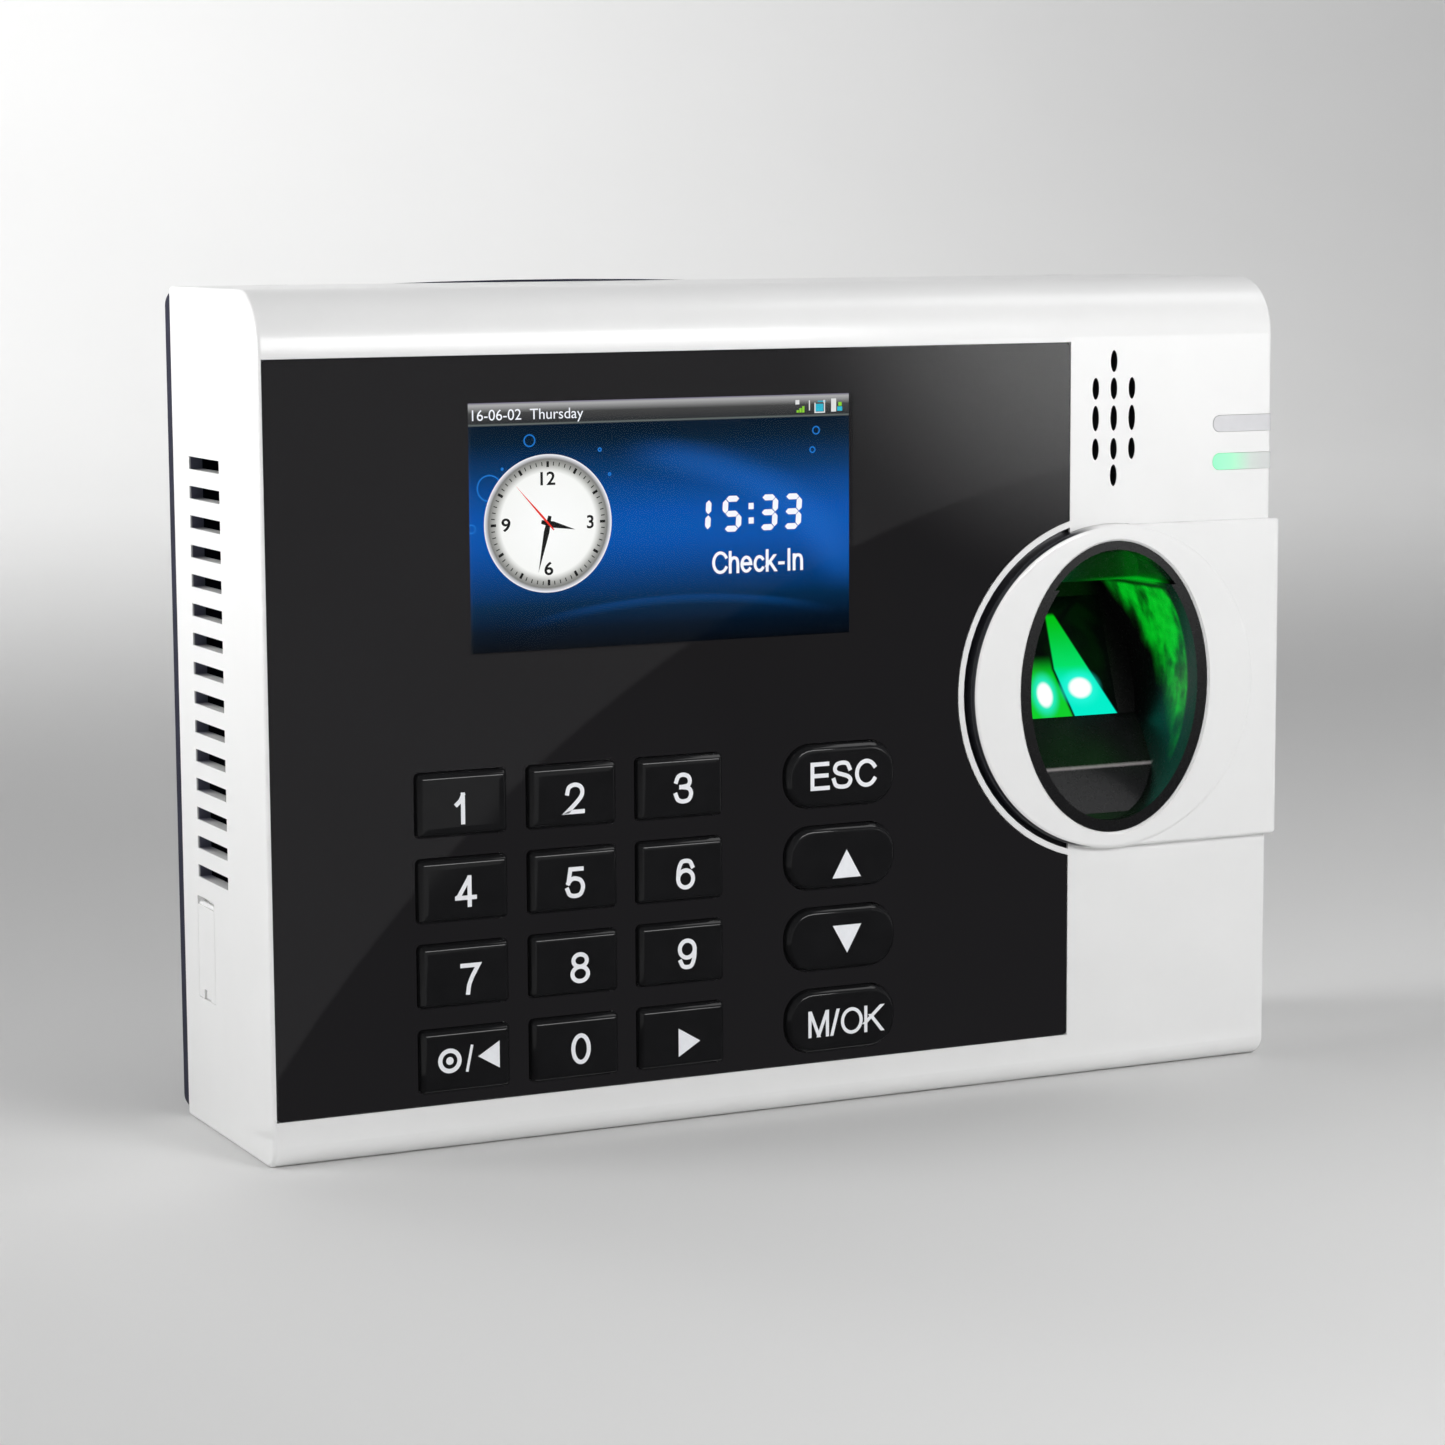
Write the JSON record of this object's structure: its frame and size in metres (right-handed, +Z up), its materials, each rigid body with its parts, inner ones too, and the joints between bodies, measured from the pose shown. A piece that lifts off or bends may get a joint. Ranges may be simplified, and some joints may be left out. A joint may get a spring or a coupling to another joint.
{
  "type": "fingerprint scanner terminal",
  "caption": "Wall-mounted fingerprint time-clock terminal with a colour display, numeric keypad, oval finger cup, sound holes, indicator lights and side service port.",
  "frame": {"origin": "centre of the wall plate's back face, on the wall", "axes": "+X to the viewer's right, +Y into the wall (the front faces -Y), +Z up"},
  "size_m": [0.1812, 0.0468, 0.1343],
  "materials": {
    "white_plastic": "fine pearl silver-white paint, satin gloss",
    "bezel_white": "white satin plastic",
    "black_plastic": "fine texture",
    "plate_steel": "grey zinc plated sheet",
    "screw_steel": "bright zinc",
    "lens_clear": "clear acrylic, polished",
    "mask_black": "black back print",
    "display_glass": "lit display",
    "flex_amber": "polyimide film",
    "silicone_grey": "matte silicone",
    "board_green": "solder mask",
    "guide_black": "satin black",
    "prism_glass": "polished optical glass, lit green from inside",
    "lamp_body": "small lamp package",
    "speaker_body": "paper cone in a plastic basket",
    "pipe_clear": "translucent light guide, unlit",
    "pipe_green": "translucent light guide, lit green",
    "battery_wrap": "blue shrink wrap",
    "chip_black": "moulded epoxy",
    "cell_steel": "nickel plated can",
    "label_silver": "blank printed label",
    "jack_black": "moulded",
    "terminal_green": "moulded",
    "socket_metal": "nickel plated",
    "plunger_white": "moulded",
    "button_red": "moulded",
    "key_black": "hard gloss black cap, white legend"
  },
  "bodies": {
    "terminal": {"front_housing": "white_plastic", "rear_housing": "black_plastic", "wall_plate": "plate_steel", "catch_screw": "screw_steel", "front_lens": "lens_clear", "lens_mask": "mask_black", "display_glass": "display_glass", "display_frame": "plate_steel", "display_screws": "screw_steel", "display_flex": "flex_amber", "keypad_mat": "silicone_grey", "keypad_board": "board_green", "keypad_screws": "screw_steel", "keypad_flex": "flex_amber", "sensor_bezel": "bezel_white", "finger_guide": "guide_black", "sensor_screws": "screw_steel", "sensor_prism": "prism_glass", "sensor_housing": "black_plastic", "sensor_board": "board_green", "sensor_lens": "guide_black", "sensor_lamps": "lamp_body", "speaker": "speaker_body", "light_pipe_upper": "pipe_clear", "light_pipe_lower": "pipe_green", "indicator_board": "board_green", "indicator_lamps": "lamp_body", "backup_battery": "battery_wrap", "main_board": "board_green", "main_screws": "screw_steel", "board_chips": "chip_black", "coin_cell": "cell_steel", "rating_label": "label_silver", "ethernet_jack": "jack_black", "dc_jack": "jack_black", "terminal_block": "terminal_green", "usb_socket": "socket_metal", "tamper_switch": "jack_black", "reset_switch": "jack_black", "sensor_cable": "flex_amber", "case_screws": "screw_steel"},
    "key_1": {"key_1": "key_black"},
    "key_2": {"key_2": "key_black"},
    "key_3": {"key_3": "key_black"},
    "key_4": {"key_4": "key_black"},
    "key_5": {"key_5": "key_black"},
    "key_6": {"key_6": "key_black"},
    "key_7": {"key_7": "key_black"},
    "key_8": {"key_8": "key_black"},
    "key_9": {"key_9": "key_black"},
    "key_left": {"key_left": "key_black"},
    "key_0": {"key_0": "key_black"},
    "key_right": {"key_right": "key_black"},
    "key_esc": {"key_esc": "key_black"},
    "key_up": {"key_up": "key_black"},
    "key_down": {"key_down": "key_black"},
    "key_ok": {"key_ok": "key_black"},
    "usb_cover": {"usb_cover": "white_plastic"},
    "tamper_plunger": {"tamper_plunger": "plunger_white"},
    "reset_button": {"reset_button": "button_red"}
  },
  "joints": [
    {"name": "press_1", "type": "slide", "parent": "terminal", "child": "key_1", "axis": [0, 1, 0], "range_m": [0, 0.0009], "stiffness_N_per_m": 900, "springref_m": -0.0004, "deforming": ["keypad_mat"]},
    {"name": "press_2", "type": "slide", "parent": "terminal", "child": "key_2", "axis": [0, 1, 0], "range_m": [0, 0.0009], "stiffness_N_per_m": 900, "springref_m": -0.0004, "deforming": ["keypad_mat"]},
    {"name": "press_3", "type": "slide", "parent": "terminal", "child": "key_3", "axis": [0, 1, 0], "range_m": [0, 0.0009], "stiffness_N_per_m": 900, "springref_m": -0.0004, "deforming": ["keypad_mat"]},
    {"name": "press_4", "type": "slide", "parent": "terminal", "child": "key_4", "axis": [0, 1, 0], "range_m": [0, 0.0009], "stiffness_N_per_m": 900, "springref_m": -0.0004, "deforming": ["keypad_mat"]},
    {"name": "press_5", "type": "slide", "parent": "terminal", "child": "key_5", "axis": [0, 1, 0], "range_m": [0, 0.0009], "stiffness_N_per_m": 900, "springref_m": -0.0004, "deforming": ["keypad_mat"]},
    {"name": "press_6", "type": "slide", "parent": "terminal", "child": "key_6", "axis": [0, 1, 0], "range_m": [0, 0.0009], "stiffness_N_per_m": 900, "springref_m": -0.0004, "deforming": ["keypad_mat"]},
    {"name": "press_7", "type": "slide", "parent": "terminal", "child": "key_7", "axis": [0, 1, 0], "range_m": [0, 0.0009], "stiffness_N_per_m": 900, "springref_m": -0.0004, "deforming": ["keypad_mat"]},
    {"name": "press_8", "type": "slide", "parent": "terminal", "child": "key_8", "axis": [0, 1, 0], "range_m": [0, 0.0009], "stiffness_N_per_m": 900, "springref_m": -0.0004, "deforming": ["keypad_mat"]},
    {"name": "press_9", "type": "slide", "parent": "terminal", "child": "key_9", "axis": [0, 1, 0], "range_m": [0, 0.0009], "stiffness_N_per_m": 900, "springref_m": -0.0004, "deforming": ["keypad_mat"]},
    {"name": "press_left", "type": "slide", "parent": "terminal", "child": "key_left", "axis": [0, 1, 0], "range_m": [0, 0.0009], "stiffness_N_per_m": 900, "springref_m": -0.0004, "deforming": ["keypad_mat"]},
    {"name": "press_0", "type": "slide", "parent": "terminal", "child": "key_0", "axis": [0, 1, 0], "range_m": [0, 0.0009], "stiffness_N_per_m": 900, "springref_m": -0.0004, "deforming": ["keypad_mat"]},
    {"name": "press_right", "type": "slide", "parent": "terminal", "child": "key_right", "axis": [0, 1, 0], "range_m": [0, 0.0009], "stiffness_N_per_m": 900, "springref_m": -0.0004, "deforming": ["keypad_mat"]},
    {"name": "press_esc", "type": "slide", "parent": "terminal", "child": "key_esc", "axis": [0, 1, 0], "range_m": [0, 0.0009], "stiffness_N_per_m": 900, "springref_m": -0.0004, "deforming": ["keypad_mat"]},
    {"name": "press_up", "type": "slide", "parent": "terminal", "child": "key_up", "axis": [0, 1, 0], "range_m": [0, 0.0009], "stiffness_N_per_m": 900, "springref_m": -0.0004, "deforming": ["keypad_mat"]},
    {"name": "press_down", "type": "slide", "parent": "terminal", "child": "key_down", "axis": [0, 1, 0], "range_m": [0, 0.0009], "stiffness_N_per_m": 900, "springref_m": -0.0004, "deforming": ["keypad_mat"]},
    {"name": "press_ok", "type": "slide", "parent": "terminal", "child": "key_ok", "axis": [0, 1, 0], "range_m": [0, 0.0009], "stiffness_N_per_m": 900, "springref_m": -0.0004, "deforming": ["keypad_mat"]},
    {"name": "usb_cover_hinge", "type": "hinge", "parent": "terminal", "child": "usb_cover", "pos_m": [-0.0892, -0.01425, -0.0309], "axis": [0, 1, 0], "range_deg": [0, 105]},
    {"name": "tamper_slide", "type": "slide", "parent": "terminal", "child": "tamper_plunger", "axis": [0, -1, 0], "range_m": [0, 0.001], "stiffness_N_per_m": 400, "springref_m": -0.001},
    {"name": "reset_press", "type": "slide", "parent": "terminal", "child": "reset_button", "axis": [0, -1, 0], "range_m": [0, 0.0003], "stiffness_N_per_m": 1500, "springref_m": -0.0005}
  ]
}
